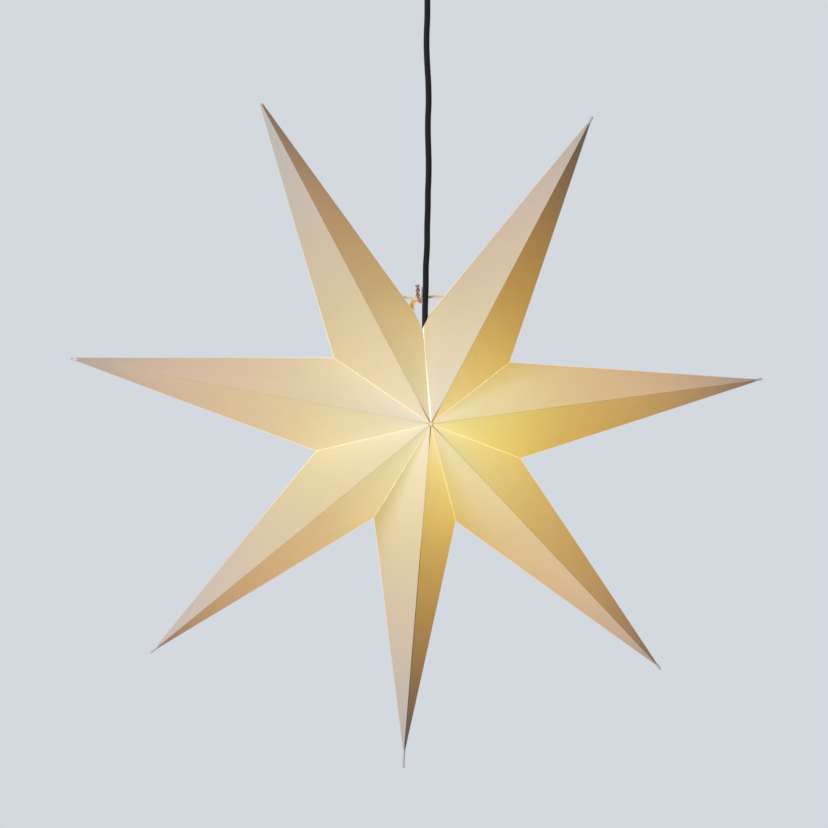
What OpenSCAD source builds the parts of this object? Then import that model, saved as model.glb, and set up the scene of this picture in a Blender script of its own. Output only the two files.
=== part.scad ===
// Paper advent star on its cord: seven folded card points around a small lamp,
// hung from a ceiling cup. Millimetres, +Z up, the star's front towards -Y.
// The origin is the centre of the face that goes against the ceiling.

/* [Star] */
// Distance from the star's centre to the fold line's end at an average point
tip_r = 350; // [320:1:400]
// Distance from the star's centre to an average notch between two points
notch_r = 106; // [98:1:120]
// Distance from the star's middle plane to the front or back centre
half_depth = 100; // [85:1:115]
// Thickness of the card
card_t = 0.4; // [0.3:0.1:0.8]
// Width of the glue flaps that join the points inside
flap_w = 10; // [6:1:14]
// Space for the glue between two points
glue_gap = 0.1; // [0.06:0.02:0.3]
// Width of the small opening where all points meet
centre_gap = 2.4; // [1.5:0.1:5]
// Width of the flat pressed end of each point
nib_w = 2.6; // [1.8:0.1:4]
// How far the pressed end runs back into its point
nib_seat = 9; // [5:1:14]

/* [Cord Hole And Ties] */
// Half width of the hole that the cord passes through, side to side
hole_half_w = 7.6; // [7.2:0.1:10]
// Half depth of the same hole, front to back
hole_half_d = 7.5; // [6:0.1:9]
// Height of the tie tapes above the top notch
tie_rise = 26; // [20:1:40]
// Width of the cotton tie tapes
tape_w = 4; // [3:0.1:5]
// Thickness of the tie tapes
tape_t = 0.6; // [0.4:0.1:1]

/* [Cord] */
// Diameter of the textile cord
cord_d = 6; // [5:0.1:6.4]
// Drop from the ceiling to the star's centre
drop = 500; // [500:1:520]
// Diameter of each insulated lead inside the cord
lead_d = 1.9; // [1.6:0.1:2.2]

/* [Lampholder] */
// Outer diameter of the lampholder
holder_d = 28; // [26:0.5:32]
// Diameter of its flat top
holder_top_d = 16; // [14:0.5:18]
// Wall of its cap and skirt
holder_wall = 1.6; // [1.2:0.1:2]
// Height of the cap below its cone
cap_h = 16; // [14:1:20]
// Height of the skirt
skirt_h = 34; // [28:1:38]
// Outer diameter of the clamp ring on the cord
clamp_d = 13; // [11:0.5:13.5]
// Height of the clamp ring
clamp_h = 6; // [4:0.5:7]
// Thickness of the insulating core
core_t = 8; // [6:0.5:10]
// Inner diameter of the threaded brass sleeve
sleeve_d = 14; // [13.9:0.1:14.4]
// Length of the brass sleeve
sleeve_h = 22; // [18:1:26]
// Diameter of the bulb's glass
bulb_d = 45; // [40:1:50]
// Length of the bulb with its cap
bulb_h = 78; // [74:1:86]

/* [Ceiling Fitting] */
// Outer diameter of the ceiling cup
cup_d = 80; // [74:1:100]
// Height of the ceiling cup
cup_h = 45; // [42:1:50]
// Wall of the ceiling cup
cup_wall = 1.8; // [1.4:0.1:2.4]
// Distance between the two ceiling screws
screw_spacing = 50; // [44:1:54]
// Radius of the ceiling screw holes
screw_hole_r = 2.25; // [2:0.05:2.75]
// Width of the steel bracket
bracket_w = 14; // [12:1:18]
// Thickness of the steel bracket
bracket_t = 1.5; // [1:0.1:2]
// Outer diameter of the cord grip under the cup
grip_d = 16; // [14:0.5:20]
// Height of the cord grip under the cup
grip_h = 12; // [10:0.5:13]

/* [Hidden] */
$fn = 48;

// Clearance of a piece that sits loosely on or in another
seat_gap = 0.3;
// Clearance of a piece that fits closely in another
close_gap = 0.05;

// The star is folded by hand, so each point leans and reaches a little differently.
// Clockwise from the upper left point, and from the top notch.
points = 7;
tip_lean = [-1.2, 3, 4.6, 6.1, 2.5, -1.8, -2.5];
tip_extra = [18, 9, 2, -6, -20, -1, 7];
nib_extra = [-9, 0, 0, 1, 11, 1, -3];
notch_lean = [0.5, 2.5, 4.5, 5, 1, -1, -1];
notch_extra = [-2.3, 4.9, 0, -4, -2.8, 1.6, 4.6];

// The cord's lower end hangs a little right of the star's centre
star_x = -3.6;
star_at = [star_x, 0, -drop];

// Angles run clockwise from straight up, seen from the front
function on_ring(r, a) = [r * sin(a), 0, r * cos(a)];
function tip_angle(k) = 360 / points * (k - 0.5) + tip_lean[k];
function notch_angle(i) = 360 / points * i + notch_lean[i % points];
function apex(k) = on_ring(tip_r + tip_extra[k], tip_angle(k));
function notch(i) = on_ring(notch_r + notch_extra[i % points], notch_angle(i));
function unit(v) = v / norm(v);
front = [0, -half_depth, 0];
back = [0, half_depth, 0];

// Outward normals of a point's two front panels
function left_normal(k) = unit(cross(apex(k) - front, notch(k + points - 1) - front));
function right_normal(k) = unit(cross(notch(k) - front, apex(k) - front));

// Shift of the whole pyramid that leaves a wall of one card thickness all round
function wall_shift(k) =
    let (a = left_normal(k), b = right_normal(k), det = a.x * b.z - a.z * b.x)
    card_t * [(a.z - b.z) / det, 0, (b.x - a.x) / det];

module pyramid(k) {
    polyhedron(
        points = [front, back, notch(k + points - 1), notch(k), apex(k)],
        faces = [[0, 2, 4], [0, 4, 3], [1, 4, 2], [1, 3, 4], [1, 2, 0], [0, 3, 1]]
    );
}

// Everything between the two glue lines of a point, as far as its blunt end.
// The pressed end stands a little proud of it.
nib_proud = 1;
module between_glue_lines(k) {
    left = notch_angle(k - 1 + (k == 0 ? points : 0)) - (k == 0 ? 360 : 0);
    right = notch_angle(k);
    reach = tip_r + tip_extra[k] + min(nib_extra[k] - nib_proud, nib_w);
    near = centre_gap / 2;
    left_off = on_ring(glue_gap / 2, left + 90);
    right_off = on_ring(glue_gap / 2, right - 90);
    corners = [
        on_ring(near, left) + left_off,
        on_ring(reach / cos(tip_angle(k) - left), left) + left_off,
        on_ring(reach / cos(right - tip_angle(k)), right) + right_off,
        on_ring(near, right) + right_off
    ];
    rotate([90, 0, 0])
        linear_extrude(height = 2 * half_depth + 2, center = true)
            polygon([for (p = corners) [p.x, p.z]]);
}

// One glue flap in the plane of a notch, from near the centre to near the notch.
// end is how much of the edge stays bare at the notch, away is +1 or -1 for the side of the glue line.
// Its fold sets it back a little from the cut edges of the panels.
flap_bare = 16;
flap_fold = 0.05;
module flap(i, end, away, side) {
    r = notch_r + notch_extra[i % points];
    len = norm([r, half_depth]);
    along = [r, half_depth] / len;
    inward = [-half_depth, r] / len;
    root = [0, -half_depth];
    set_back = glue_gap / 2 + flap_fold;
    from_z = away > 0 ? set_back : -set_back - card_t;
    rotate([0, notch_angle(i) - 90, 0])
        mirror([0, side, 0])
            translate([0, 0, from_z])
                linear_extrude(height = card_t)
                    polygon([
                        root + along * flap_bare,
                        root + along * (len - end),
                        root + along * (len - end - flap_w) + inward * flap_w,
                        root + along * (flap_bare + flap_w) + inward * flap_w
                    ]);
}

// Bare ends of the flaps: at the open top seam they stop clear of the lampholder
flap_end = 5;
seam_end = holder_d / 2 + 14;
function bare(i) = i % points == 0 ? seam_end : flap_end;

module nib(k) {
    from_r = tip_r + tip_extra[k] + min(nib_extra[k], 0) - nib_seat;
    to_r = tip_r + tip_extra[k] + nib_extra[k];
    rotate([0, tip_angle(k), 0])
        translate([-nib_w / 2, -2 * card_t, from_r])
            cube([nib_w, 4 * card_t, to_r - from_r]);
}

// One folded point: four panels, open at its root, with its glue flaps and pressed end
module star_point(k) {
    intersection() {
        difference() {
            pyramid(k);
            translate(wall_shift(k)) pyramid(k);
        }
        between_glue_lines(k);
    }
    for (side = [0, 1]) {
        flap(k + points - 1, bare(k + points - 1), -1, side);
        flap(k, bare(k), 1, side);
    }
    nib(k);
}

// The hole for the cord: the corners of the four panels at the top notch, cut off straight,
// and rounded out where the cord runs
hole_x = notch(0).x - 1.3;
cord_room_r = cord_d / 2 + seat_gap;
module cord_hole() {
    translate([0, 0, notch(0).z - 2 * hole_half_d])
        linear_extrude(height = 4 * hole_half_d + 2 * card_t) {
            translate([hole_x, 0])
                polygon([[-hole_half_w, 0], [0, -hole_half_d], [hole_half_w, 0], [0, hole_half_d]]);
            translate([-star_x, 0]) circle(r = cord_room_r);
        }
}

// Where a tape at height z and depth y goes through a back panel beside the top notch
tie_z = notch(0).z + tie_rise;
tie_y = cord_d / 2 + 1 + tape_w / 2;
tie_hole_d = tape_w + 1;
stopper_d = tie_hole_d + 1;
function panel_x(k) =
    let (n = cross(apex(k) - notch(0), back - notch(0)))
    notch(0).x - (n.y * tie_y + n.z * tie_rise) / n.x;
function panel_slope(k) =
    let (n = unit(cross(apex(k) - notch(0), back - notch(0)))) abs(n.x);
hole_run = 8;
module tie_hole(k) {
    translate([panel_x(k), tie_y, tie_z])
        rotate([0, 90, 0]) cylinder(d = tie_hole_d, h = 2 * hole_run, center = true);
}

// A point beside the top seam also has its share of the cord hole and a punched hole
module seam_point(k) {
    difference() {
        star_point(k);
        cord_hole();
        tie_hole(k);
    }
}

module point_upper_left() { color([0.96, 0.9, 0.82]) translate(star_at) seam_point(0); }
module point_upper_right() { color([0.96, 0.89, 0.8]) translate(star_at) seam_point(1); }
module point_right() { color([0.96, 0.88, 0.74]) translate(star_at) star_point(2); }
module point_lower_right() { color([0.96, 0.88, 0.76]) translate(star_at) star_point(3); }
module point_bottom() { color([0.95, 0.88, 0.8]) translate(star_at) star_point(4); }
module point_lower_left() { color([0.96, 0.89, 0.8]) translate(star_at) star_point(5); }
module point_left() { color([0.97, 0.9, 0.82]) translate(star_at) star_point(6); }

// Tie tapes: through a punched hole from a stopper knot, and knotted behind the cord
knot_d = 6;
knot_x = -0.8;
knot_z = tie_z - 1.5;
function stopper_x(k, way) =
    panel_x(k) + way * ((stopper_d / 2 + seat_gap) / panel_slope(k) + card_t / panel_slope(k));

module tape_run(x1, x2) {
    translate([min(x1, x2), tie_y - tape_w / 2, tie_z - tape_t / 2])
        cube([abs(x2 - x1), tape_w, tape_t]);
}

// The left tape carries the knot and a loose end that curls down behind the left point
curl_r = 13.3;
curl_at = [4.8, tie_y + tape_w / 2, tie_z - 12.5];
module tie_left() {
    color([0.86, 0.68, 0.42]) translate(star_at) {
        tape_run(stopper_x(0, -1), knot_x);
        translate([stopper_x(0, -1), tie_y, tie_z]) sphere(d = stopper_d, $fn = 24);
        translate([knot_x, tie_y, knot_z]) sphere(d = knot_d, $fn = 24);
        translate(curl_at)
            rotate([90, 0, 0])
                rotate([0, 0, 125])
                    rotate_extrude(angle = 62)
                        translate([curl_r - tape_w / 2, -tape_t]) square([tape_w, tape_t]);
    }
}

// The right tape ends against the knot, and its two short ends stand up beside the cord
upright_h = 11;
module tie_right() {
    from_x = knot_x + knot_d / 2 + close_gap;
    color([0.88, 0.8, 0.68]) translate(star_at) {
        tape_run(from_x, stopper_x(1, 1));
        translate([stopper_x(1, 1), tie_y, tie_z]) sphere(d = stopper_d, $fn = 24);
        translate([from_x, tie_y + tape_w / 2 - tape_t, tie_z - tape_t / 2])
            cube([tape_w / 2, tape_t, upright_h]);
        translate([knot_x - tape_w, tie_y + tape_w / 2 - tape_t, tie_z + knot_d / 2])
            cube([from_x - knot_x + tape_w + tape_t, tape_t, upright_h - knot_d / 2]);
    }
}

// The cord's route, from inside the ceiling cup down to inside the lampholder
cord_route = [
    [0, 0, -40], [0, 0, -60], [0, 0, -75], [0, 0, -90], [-0.5, 0, -105], [-0.5, 0, -120],
    [0.5, 0, -140], [1.5, 0, -155], [2, 0, -175], [1.5, 0, -190], [1.5, 0, -205], [2, 0, -220],
    [2.5, 0, -235], [2.5, 0, -250], [2, 0, -265], [2, 0, -280], [1.5, 0, -300], [1.5, 0, -320],
    [0.5, 0, -340], [0.5, 0, -360], [0, 0, -380], [0, 0, -400], [0, 0, -415]
];

// A round tube swept along a route that runs mainly up or down
module tube(route, d, sides) {
    last = len(route) - 1;
    rings = [for (p = route) for (s = [0 : sides - 1])
        p + [cos(360 * s / sides), sin(360 * s / sides), 0] * d / 2];
    down = route[last].z < route[0].z;
    walls = [for (i = [0 : last - 1]) for (s = [0 : sides - 1])
        let (n = (s + 1) % sides, a = i * sides + s, b = i * sides + n, c = b + sides, e = a + sides)
        down ? [a, b, c, e] : [e, c, b, a]];
    first_end = [for (s = [0 : sides - 1]) s];
    last_end = [for (s = [0 : sides - 1]) last * sides + s];
    flip = function(face) [for (j = [len(face) - 1 : -1 : 0]) face[j]];
    polyhedron(
        points = rings,
        faces = concat(walls, [down ? flip(first_end) : first_end, down ? last_end : flip(last_end)]),
        convexity = 4
    );
}

cord_sides = 12;
module cord() { color([0.05, 0.05, 0.05]) tube(cord_route, cord_d, cord_sides); }

// Lampholder heights in the row frame, hung so that its cone just clears the card at the open seam
holder_r = holder_d / 2;
holder_top_r = holder_top_d / 2;
valley_fall = notch(0).z / half_depth;
card_rise = card_t / right_normal(0).z;
shoulder_z = notch(0).z - card_rise - seat_gap - drop
    - max(valley_fall * holder_r, valley_fall * holder_top_r + holder_r - holder_top_r);
top_z = shoulder_z + holder_r - holder_top_r;
cap_end_z = shoulder_z - cap_h;
inner_r = holder_r - holder_wall;
ledge_t = 1.5;
ledge_r = sleeve_d / 2 + 2;
core_top_z = cap_end_z + 2;
core_end_z = core_top_z - core_t;
post_h = 6;
post_x = 6;

module holder_cap() {
    color([0.06, 0.06, 0.06])
        rotate_extrude()
            polygon([
                [cord_room_r, top_z], [holder_top_r, top_z], [holder_r, shoulder_z], [holder_r, cap_end_z],
                [inner_r, cap_end_z], [inner_r, shoulder_z - holder_wall / 2],
                [holder_top_r - holder_wall / 2, top_z - holder_wall], [cord_room_r, top_z - holder_wall]
            ]);
}

// The skirt screws up against the cap and carries the core on an inner ledge
module holder_skirt() {
    end_z = cap_end_z - skirt_h;
    color([0.06, 0.06, 0.06])
        rotate_extrude()
            polygon([
                [inner_r, cap_end_z], [holder_r, cap_end_z], [holder_r, end_z + 1], [holder_r - 1, end_z],
                [inner_r, end_z], [inner_r, core_end_z - ledge_t], [ledge_r, core_end_z - ledge_t],
                [ledge_r, core_end_z], [inner_r, core_end_z]
            ]);
}

module holder_core() {
    color([0.88, 0.86, 0.8])
        translate([0, 0, core_end_z]) cylinder(r = inner_r - seat_gap, h = core_t);
}

sleeve_t = 0.4;
module thread_sleeve() {
    color([0.8, 0.62, 0.28])
        rotate_extrude()
            polygon([
                [sleeve_d / 2, core_end_z - sleeve_h], [sleeve_d / 2 + sleeve_t, core_end_z - sleeve_h],
                [sleeve_d / 2 + sleeve_t, core_end_z - 1], [ledge_r - seat_gap, core_end_z - 1],
                [ledge_r - seat_gap, core_end_z], [sleeve_d / 2, core_end_z]
            ]);
}

contact_t = 1.6;
module centre_contact() {
    color([0.8, 0.62, 0.28])
        translate([0, 0, core_end_z - contact_t]) cylinder(r = 3, h = contact_t);
}

// Clamp ring on the cord, pulled up against the inside of the cap
module cord_clamp() {
    color([0.75, 0.75, 0.75])
        translate([0, 0, top_z - holder_wall - clamp_h])
            difference() {
                cylinder(d = clamp_d, h = clamp_h);
                translate([0, 0, -1]) cylinder(r = cord_d / 2 + close_gap, h = clamp_h + 2);
            }
}

post_w = 5;
screw_r = 1.2;
module at_posts() {
    for (side = [-1, 1]) translate([side * post_x, 0, core_top_z]) children();
}
module holder_terminals() {
    color([0.8, 0.62, 0.28])
        at_posts()
            difference() {
                translate([-post_w / 2, -post_w / 2, 0]) cube([post_w, post_w, post_h]);
                translate([0, 0, post_h / 2])
                    rotate([90, 0, 0]) cylinder(r = screw_r + close_gap, h = post_w + 2, center = true);
            }
}
module holder_screws() {
    head_t = 1;
    color([0.7, 0.7, 0.7])
        at_posts()
            translate([0, -post_w / 2, post_h / 2])
                rotate([90, 0, 0]) {
                    cylinder(r = screw_r + 0.6, h = head_t);
                    translate([0, 0, 1 - post_w]) cylinder(r = screw_r, h = post_w);
                }
}

// Leads between the cord's ends and the terminals
lead_sides = 8;
lead_x = lead_d / 2 + 0.25;
cord_low_z = cord_route[len(cord_route) - 1].z;
cord_high_z = cord_route[0].z;
module holder_lead(side) {
    end_z = core_top_z + post_h;
    tube([
        [side * lead_x, 0, cord_low_z], [side * lead_x, 0, cord_low_z - 0.4],
        [side * post_x, 0, end_z + 0.4], [side * post_x, 0, end_z]
    ], lead_d, lead_sides);
}
module holder_lead_live() { color([0.4, 0.2, 0.1]) holder_lead(-1); }
module holder_lead_neutral() { color([0.15, 0.3, 0.65]) holder_lead(1); }

// Bulb: contact, screw cap, neck and round glass as one sealed solid
bulb_top_z = core_end_z - contact_t - seat_gap;
bulb_r = bulb_d / 2;
bulb_cap_r = sleeve_d / 2 - seat_gap;
bulb_cap_h = 22;
neck_r = bulb_cap_r + 0.6;
module bulb() {
    centre_z = bulb_top_z - bulb_h + bulb_r;
    neck_z = bulb_top_z - bulb_cap_h;
    open = 50;
    glass = [for (a = [90 - open : -5 : -90]) [bulb_r * cos(a), centre_z + bulb_r * sin(a)]];
    waist = [(neck_r + glass[0].x) / 2 - 1.2, (neck_z + glass[0].y) / 2];
    color([1, 0.93, 0.75])
        rotate_extrude()
            polygon(concat(
                [
                    [0, bulb_top_z], [2.4, bulb_top_z], [2.4, bulb_top_z - 1.4],
                    [bulb_cap_r, bulb_top_z - 4], [bulb_cap_r, neck_z], [neck_r, neck_z - 1], waist
                ],
                [for (p = glass) [max(p.x, 0), p.y]]
            ));
}

// Ceiling cup: straight at the ceiling, where its side screws are, and tapered below
cup_r = cup_d / 2;
cup_rim = 14;
cup_low_r = cup_r - 7;
cup_round = 6;
grip_neck_r = 4.9;
module cup_profile(inset) {
    low = -cup_h + inset;
    bend = cup_round - inset;
    arc = [for (a = [0 : 15 : 90])
        [cup_low_r - cup_round + bend * cos(a), -cup_h + cup_round - bend * sin(a)]];
    polygon(concat(
        [[0, low], [0, 1], [cup_r - inset, 1], [cup_r - inset, -cup_rim]], arc
    ));
}
cup_screw_z = -7;
cup_screw_r = 1.5;
module cup_side_hole(r) {
    translate([0, 0, cup_screw_z]) rotate([0, 90, 0]) cylinder(r = r, h = cup_d + 10, center = true);
}
module ceiling_cup() {
    color([0.06, 0.06, 0.06])
        difference() {
            intersection() {
                rotate_extrude($fn = 96) difference() { cup_profile(0); cup_profile(cup_wall); }
                translate([0, 0, -cup_h / 2]) cube([cup_d + 2, cup_d + 2, cup_h], center = true);
            }
            translate([0, 0, -cup_h - 1]) cylinder(r = grip_neck_r + seat_gap, h = cup_wall + 2);
            cup_side_hole(cup_screw_r + seat_gap);
        }
}

// Steel bracket: a strip with two ceiling screw holes and an ear for each side screw
bracket_half = sqrt(pow(cup_r - cup_wall - seat_gap, 2) - pow(bracket_w / 2, 2));
ear_h = 13;
module ceiling_bracket() {
    color([0.72, 0.73, 0.75])
        difference() {
            union() {
                translate([-bracket_half, -bracket_w / 2, -bracket_t])
                    cube([2 * bracket_half, bracket_w, bracket_t]);
                for (side = [-1, 1])
                    translate([side * (bracket_half - bracket_t / 2), 0, -ear_h / 2])
                        cube([bracket_t, bracket_w, ear_h], center = true);
            }
            for (side = [-1, 1])
                translate([side * screw_spacing / 2, 0, -bracket_t - 1])
                    cylinder(r = screw_hole_r, h = bracket_t + 2);
            cup_side_hole(cup_screw_r + close_gap);
        }
}

module cup_screws() {
    head_t = 2;
    color([0.1, 0.1, 0.1])
        for (side = [0, 1])
            mirror([side, 0, 0])
                translate([cup_r, 0, cup_screw_z])
                    rotate([0, 90, 0])
                        difference() {
                            union() {
                                cylinder(r = 3, h = head_t);
                                translate([0, 0, -6]) cylinder(r = cup_screw_r, h = 6);
                            }
                            translate([-3, -0.4, head_t - 0.8]) cube([6, 0.8, 2]);
                        }
}

// Cord grip: a bush through the cup's floor, with a nut above and a grub screw at the back
grip_r = grip_d / 2;
nut_h = 4;
neck_top_z = -cup_h + cup_wall + nut_h + 1;
grip_end_z = -cup_h - grip_h;
grip_screw_z = -cup_h - grip_h / 2 + 1;
grip_screw_r = 1.5;
module cord_grip() {
    color([0.06, 0.06, 0.06])
        difference() {
            rotate_extrude()
                polygon([
                    [cord_room_r, neck_top_z], [grip_neck_r, neck_top_z],
                    [grip_neck_r, -cup_h], [grip_r, -cup_h],
                    [grip_r, grip_end_z + grip_h / 3],
                    [cord_room_r + 1.6, grip_end_z], [cord_room_r, grip_end_z]
                ]);
            translate([0, 0, grip_screw_z])
                rotate([-90, 0, 0]) cylinder(r = grip_screw_r + close_gap, h = grip_r + 1);
        }
}
module grip_nut() {
    color([0.1, 0.1, 0.1])
        translate([0, 0, -cup_h + cup_wall])
            difference() {
                cylinder(r = 8, h = nut_h, $fn = 6);
                translate([0, 0, -1]) cylinder(r = grip_neck_r + close_gap, h = nut_h + 2);
            }
}
module grip_screw() {
    from_y = cord_d / 2 + 0.1;
    color([0.7, 0.7, 0.7])
        translate([0, from_y, grip_screw_z])
            rotate([-90, 0, 0])
                difference() {
                    cylinder(r = grip_screw_r, h = grip_r - from_y - 0.5);
                    translate([-2, -0.3, grip_r - from_y - 1.3]) cube([4, 0.6, 2]);
                }
}

// Terminal block under the bracket, its wire holes facing down
block = [22, 14, 13];
block_x = 5;
block_hole = 9;
block_z = -bracket_t - block.z;
module at_block_ways() {
    for (side = [-1, 1]) translate([side * block_x, 0, block_z]) children();
}
module terminal_block() {
    color([0.9, 0.89, 0.86])
        difference() {
            translate([-block.x / 2, -block.y / 2, block_z]) cube(block);
            at_block_ways() translate([0, 0, -1]) cylinder(r = lead_d / 2 + seat_gap, h = block_hole + 1);
            at_block_ways()
                translate([0, 0, block_hole / 2])
                    rotate([90, 0, 0]) cylinder(r = screw_r + close_gap, h = block.y / 2 + 1);
        }
}
module block_screws() {
    color([0.7, 0.7, 0.7])
        at_block_ways()
            translate([0, -lead_d / 2 - 0.15, block_hole / 2])
                rotate([90, 0, 0])
                    difference() {
                        cylinder(r = screw_r, h = block.y / 2 - lead_d / 2 - 1);
                        translate([-2, -0.25, block.y / 2 - lead_d / 2 - 1.6]) cube([4, 0.5, 2]);
                    }
}
module cup_lead(side) {
    tube([
        [side * lead_x, 0, cord_high_z], [side * lead_x, 0, cord_high_z + 4],
        [side * block_x, 0, block_z - 4], [side * block_x, 0, block_z + block_hole - 1]
    ], lead_d, lead_sides);
}
module cup_lead_live() { color([0.4, 0.2, 0.1]) cup_lead(-1); }
module cup_lead_neutral() { color([0.15, 0.3, 0.65]) cup_lead(1); }

point_upper_left();
point_upper_right();
point_right();
point_lower_right();
point_bottom();
point_lower_left();
point_left();
tie_left();
tie_right();
cord();
bulb();
holder_cap();
holder_skirt();
holder_core();
thread_sleeve();
centre_contact();
cord_clamp();
holder_terminals();
holder_screws();
holder_lead_live();
holder_lead_neutral();
ceiling_cup();
ceiling_bracket();
cup_screws();
cord_grip();
grip_nut();
grip_screw();
terminal_block();
block_screws();
cup_lead_live();
cup_lead_neutral();
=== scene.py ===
import math

import bpy
import numpy as np
from mathutils import Matrix


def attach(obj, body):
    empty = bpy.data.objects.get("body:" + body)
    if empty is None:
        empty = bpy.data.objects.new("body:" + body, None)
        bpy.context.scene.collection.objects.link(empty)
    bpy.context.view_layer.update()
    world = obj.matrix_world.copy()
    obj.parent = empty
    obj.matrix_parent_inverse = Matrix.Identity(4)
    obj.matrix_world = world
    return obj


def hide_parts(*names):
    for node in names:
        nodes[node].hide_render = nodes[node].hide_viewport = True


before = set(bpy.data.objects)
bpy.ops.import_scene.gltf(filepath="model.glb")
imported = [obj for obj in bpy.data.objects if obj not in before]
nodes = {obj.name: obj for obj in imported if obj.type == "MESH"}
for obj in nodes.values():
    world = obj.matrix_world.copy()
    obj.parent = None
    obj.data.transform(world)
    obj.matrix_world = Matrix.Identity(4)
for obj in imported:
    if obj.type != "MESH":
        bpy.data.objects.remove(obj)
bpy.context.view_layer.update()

scene = bpy.context.scene
mm = 0.001
print("frame loaded,", len(nodes), "pieces")


# The star's measures, in millimetres and degrees, as the card is cut and folded.
# Lists run clockwise from the upper left point, and from the top notch.
star = {
    "centre": (-3.6, 0, -500),
    "points": 7,
    "tipReach": 350,
    "notchReach": 106,
    "halfDepth": 100,
    "cardThickness": 0.4,
    "tipLean": (-1.2, 3, 4.6, 6.1, 2.5, -1.8, -2.5),
    "tipExtra": (18, 9, 2, -6, -20, -1, 7),
    "nibExtra": (-9, 0, 0, 1, 11, 1, -3),
    "notchLean": (0.5, 2.5, 4.5, 5, 1, -1, -1),
    "notchExtra": (-2.3, 4.9, 0, -4, -2.8, 1.6, 4.6),
    "centreGap": 2.4,
    "glueGap": 0.1,
    "nodes": ("point_upper_left", "point_upper_right", "point_right", "point_lower_right",
              "point_bottom", "point_lower_left", "point_left"),
}
starCentre = np.array(star["centre"]) * mm
depthWay = np.array([0.0, 1.0, 0.0])


# Angles run clockwise from straight up, seen from the front
def onRing(reach, angle):
    a = np.radians(angle)
    return np.array([reach * np.sin(a), 0.0, reach * np.cos(a)])


def tipAngle(k):
    return 360 / star["points"] * (k - 0.5) + star["tipLean"][k]


def notchAngle(k):
    return 360 / star["points"] * k + star["notchLean"][k % star["points"]]


def notchRadius(k):
    return star["notchReach"] + star["notchExtra"][k % star["points"]]


def notchAt(k):
    return onRing(notchRadius(k), notchAngle(k))


def apexAt(k):
    return onRing(star["tipReach"] + star["tipExtra"][k], tipAngle(k))


def smooth(x, low=0.0, high=1.0):
    t = np.clip((x - low) / (high - low), 0, 1)
    return t * t * (3 - 2 * t)


# Angles of so many even steps round a circle
def roundCircle(count):
    return np.linspace(0, 2 * np.pi, count, endpoint=False)


# How far along a path each of its points is
def runAlong(path):
    return np.r_[0, np.cumsum(np.linalg.norm(np.diff(path, axis=0), axis=1))]


# Three facts for each place of a grid, from numbers or arrays
def together(shape, *values):
    return np.stack([np.broadcast_to(value, shape) for value in values], axis=-1)


# An object at the origin
def putInScene(name, data):
    made = bpy.data.objects.new(name, data)
    scene.collection.objects.link(made)
    return made


# The camera stands where the photograph was taken from: almost square on, a little left and below
camera = {
    "place": (-0.2211, -2.1888, -0.5456),
    "azimuth": -5.5,
    "elevation": -1.5,
    "roll": 0.44,
    "focalPixels": 2200,
    "framePixels": 828,
}


# The way from the star towards whoever looks at it, or a lamp, from a bearing and a height in degrees
def lineOfSight(bearing, height):
    a, e = math.radians(bearing), math.radians(height)
    return np.array([math.sin(a) * math.cos(e), -math.cos(a) * math.cos(e), math.sin(e)])


def makeCamera():
    data = bpy.data.cameras.new("camera")
    data.sensor_width = 36
    data.lens = data.sensor_width * camera["focalPixels"] / camera["framePixels"]
    data.clip_start, data.clip_end = 0.05, 60
    back = lineOfSight(camera["azimuth"], camera["elevation"])
    r = math.radians(camera["roll"])
    level = np.cross(-back, [0, 0, 1])
    level /= np.linalg.norm(level)
    upright = np.cross(level, -back)
    right = level * math.cos(r) + upright * math.sin(r)
    up = upright * math.cos(r) - level * math.sin(r)
    turn = Matrix(np.array([right, up, back]).T.tolist()).to_4x4()
    scene.camera = putInScene("camera", data)
    scene.camera.matrix_world = Matrix.Translation(camera["place"]) @ turn


makeCamera()
print("camera placed")


# Wire holds one shader value, and arithmetic on it adds Math nodes
class Wire:
    def __init__(self, paint, socket):
        self.paint, self.socket = paint, socket

    def withMath(self, operation, first, second):
        return self.paint.node("ShaderNodeMath", {"operation": operation}, {0: first, 1: second})

    def __add__(self, other):
        return self.withMath("ADD", self, other)

    def __rsub__(self, other):
        return self.withMath("SUBTRACT", other, self)

    def __mul__(self, other):
        return self.withMath("MULTIPLY", self, other)

    __radd__ = __add__
    __rmul__ = __mul__


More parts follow.
